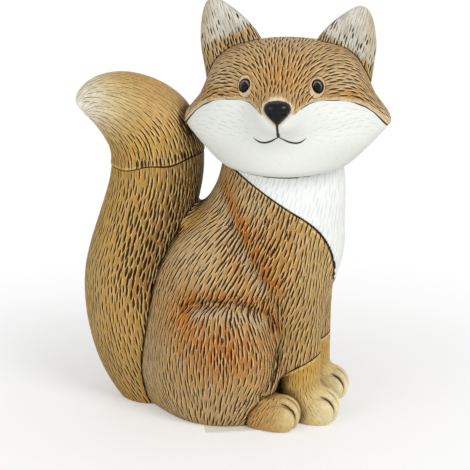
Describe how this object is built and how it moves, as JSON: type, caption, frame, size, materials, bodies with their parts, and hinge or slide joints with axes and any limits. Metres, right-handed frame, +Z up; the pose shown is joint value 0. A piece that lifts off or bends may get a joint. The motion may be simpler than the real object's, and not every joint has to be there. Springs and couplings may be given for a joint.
{
  "type": "sitting woodland animal figurine",
  "caption": "Cast resin ornament of a sitting canine with an upright bushy tail, pricked ears, a white bib and bead eyes, standing on its own flat base.",
  "frame": {"origin": "middle of the footprint of the whole figurine's box, on the surface it stands on", "axes": "+Z up, +X towards the right of the display view, where the chest points, +Y away from the viewer; the face looks along -Y"},
  "size_m": [0.1026, 0.0636, 0.1393],
  "materials": {
    "coat_brown": "cast resin, hand painted ochre brown with a dark wash in the cut fur and a pale dry brush",
    "bib_white": "cast resin, chalky white paint",
    "head_coat": "cast resin, brown mask over a white face",
    "ear_grey": "cast resin, grey cream paint with dark ticks",
    "bead_black": "glossy black lacquer",
    "tail_gold": "cast resin, golden ochre with dark strokes",
    "tail_cream": "cast resin, gold fading to a cream tip",
    "paw_cream": "cast resin, cream toes",
    "dowel_wood": "plain beech dowel",
    "pin_steel": "cut steel rod",
    "plug_rubber": "moulded soft plug",
    "label_paper": "blank white paper"
  },
  "bodies": {
    "root": {"body_casting": "coat_brown", "chest_bib": "bib_white", "head_casting": "head_coat", "right_ear": "ear_grey", "left_ear": "ear_grey", "right_eye": "bead_black", "left_eye": "bead_black", "nose": "bead_black", "tail_lower": "tail_gold", "tail_tip": "tail_cream", "right_front_paw": "paw_cream", "left_front_paw": "paw_cream", "right_hind_paw": "paw_cream", "left_hind_paw": "paw_cream", "neck_dowel": "dowel_wood", "tail_ring_pin": "pin_steel", "tail_root_pin": "pin_steel", "base_plug": "plug_rubber", "paper_label": "label_paper"}
  },
  "joints": []
}
